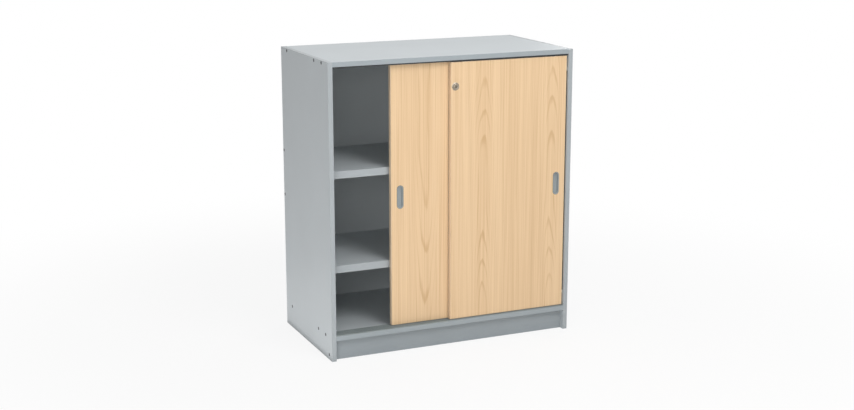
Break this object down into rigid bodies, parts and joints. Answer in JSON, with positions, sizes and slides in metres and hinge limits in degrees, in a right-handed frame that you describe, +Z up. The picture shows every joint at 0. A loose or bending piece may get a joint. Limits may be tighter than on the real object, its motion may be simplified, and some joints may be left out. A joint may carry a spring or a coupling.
{
  "type": "sliding door cabinet",
  "caption": "Low office cabinet with sliding wood-pattern doors that run past each other on tracks, oval finger pulls, a push lock, loose shelves and a recessed plinth.",
  "frame": {"origin": "on the floor, under the middle of the cabinet's box", "axes": "+Z up; the doors face -Y; +X to the right as seen from the front"},
  "size_m": [0.89, 0.47, 1],
  "materials": {
    "grey_board": "satin melamine facing on chipboard",
    "grey_edging": "satin plastic lipping",
    "beech_board": "satin beech-pattern melamine facing on chipboard, grain upright",
    "beech_edging": "satin beech-pattern plastic lipping",
    "grey_plastic": "satin moulded plastic",
    "track_plastic": "satin extruded plastic",
    "dark_plastic": "matt moulded plastic",
    "white_plastic": "moulded acetal",
    "dark_screw": "burnished steel",
    "steel": "zinc plated",
    "nickel": "bright nickel plate",
    "raw_wood": "bare fluted beech",
    "soft_buffer": "soft plastic"
  },
  "bodies": {
    "carcase": {"left_side_panel": "grey_board", "right_side_panel": "grey_board", "top_panel": "grey_board", "bottom_panel": "grey_board", "back_panel": "grey_board", "plinth_board": "grey_board", "upper_shelf": "grey_board", "lower_shelf": "grey_board", "left_side_edging": "grey_edging", "right_side_edging": "grey_edging", "top_panel_edging": "grey_edging", "bottom_panel_edging": "grey_edging", "upper_shelf_edging": "grey_edging", "lower_shelf_edging": "grey_edging", "bottom_track": "track_plastic", "top_track": "dark_plastic", "left_side_screws": "dark_screw", "right_side_screws": "dark_screw", "bottom_track_screws": "steel", "top_track_screws": "steel", "upper_shelf_supports": "steel", "lower_shelf_supports": "steel", "wooden_dowels": "raw_wood", "left_side_buffers": "soft_buffer", "right_side_buffers": "soft_buffer"},
    "left_door": {"left_door_panel": "beech_board", "left_door_edging": "beech_edging", "left_door_finger_pull": "grey_plastic", "left_door_roller_carriers": "white_plastic", "left_door_carrier_screws": "steel", "left_door_roller_axles": "steel", "left_door_top_guides": "dark_plastic", "strike_plate": "steel", "strike_screws": "steel"},
    "right_door": {"right_door_panel": "beech_board", "right_door_edging": "beech_edging", "right_door_finger_pull": "grey_plastic", "right_door_roller_carriers": "white_plastic", "right_door_carrier_screws": "steel", "right_door_roller_axles": "steel", "right_door_top_guides": "dark_plastic", "lock_housing": "nickel", "lock_screws": "steel", "lock_rosette": "nickel", "lock_spring": "steel"},
    "left_door_left_wheel": {"left_door_left_roller": "white_plastic"},
    "left_door_right_wheel": {"left_door_right_roller": "white_plastic"},
    "right_door_left_wheel": {"right_door_left_roller": "white_plastic"},
    "right_door_right_wheel": {"right_door_right_roller": "white_plastic"},
    "lock_cylinder": {"lock_push_cylinder": "nickel", "lock_bolt": "steel"},
    "lock_core": {"lock_plug": "nickel"}
  },
  "joints": [
    {"name": "left_door_slide", "type": "slide", "parent": "carcase", "child": "left_door", "axis": [1, 0, 0], "range_m": [-0.205, 0.209]},
    {"name": "right_door_slide", "type": "slide", "parent": "carcase", "child": "right_door", "axis": [1, 0, 0], "range_m": [-0.414, 0]},
    {"name": "left_door_left_roller_spin", "type": "hinge", "parent": "left_door", "child": "left_door_left_wheel", "pos_m": [-0.16, -0.202, 0.0958], "axis": [0, 1, 0], "continuous": true},
    {"name": "left_door_right_roller_spin", "type": "hinge", "parent": "left_door", "child": "left_door_right_wheel", "pos_m": [0.156, -0.202, 0.0958], "axis": [0, 1, 0], "continuous": true},
    {"name": "right_door_left_roller_spin", "type": "hinge", "parent": "right_door", "child": "right_door_left_wheel", "pos_m": [0.049, -0.221, 0.0958], "axis": [0, 1, 0], "continuous": true},
    {"name": "right_door_right_roller_spin", "type": "hinge", "parent": "right_door", "child": "right_door_right_wheel", "pos_m": [0.365, -0.221, 0.0958], "axis": [0, 1, 0], "continuous": true},
    {"name": "lock_push", "type": "slide", "parent": "right_door", "child": "lock_cylinder", "axis": [0, 1, 0], "range_m": [0, 0.008], "stiffness_N_per_m": 250, "springref_m": -0.004, "deforming": ["lock_spring"]},
    {"name": "lock_turn", "type": "hinge", "parent": "lock_cylinder", "child": "lock_core", "pos_m": [0.0055, -0.2345, 0.896], "axis": [0, 1, 0], "range_deg": [0, 90]}
  ],
  "couplings": [
    {"joint": "left_door_left_roller_spin", "follows": "left_door_slide", "rad_per_m": 125},
    {"joint": "left_door_right_roller_spin", "follows": "left_door_slide", "rad_per_m": 125},
    {"joint": "right_door_left_roller_spin", "follows": "right_door_slide", "rad_per_m": 125},
    {"joint": "right_door_right_roller_spin", "follows": "right_door_slide", "rad_per_m": 125}
  ]
}
